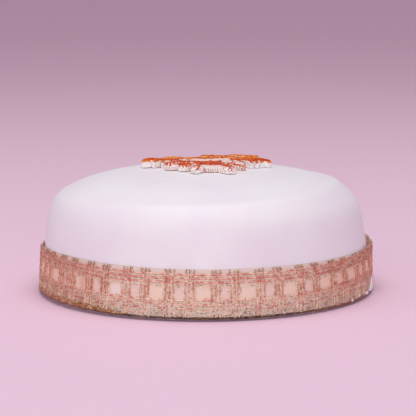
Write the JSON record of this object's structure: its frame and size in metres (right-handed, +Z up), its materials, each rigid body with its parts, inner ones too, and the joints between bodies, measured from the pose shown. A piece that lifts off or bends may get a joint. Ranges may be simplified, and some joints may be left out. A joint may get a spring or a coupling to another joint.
{
  "type": "christmas cake",
  "caption": "Round Christmas cake under smooth white icing, with a plaid ribbon round its foot and a copper-dusted snowflake plaque on its crown.",
  "frame": {"origin": "centre of the cake's flat foot", "axes": "+Z up through the crown; -Y is the front, and the ribbon's ends lap at the back"},
  "size_m": [0.203, 0.2045, 0.0784],
  "materials": {
    "white_icing": "smooth satin sugarpaste",
    "plaid_ribbon": "sheer peach weave with copper and gold metallic threads",
    "dusted_icing": "white icing dusted with copper lustre on top"
  },
  "bodies": {
    "root": {"iced_cake": "white_icing", "ribbon": "plaid_ribbon", "snowflake_topper": "dusted_icing"}
  },
  "joints": []
}
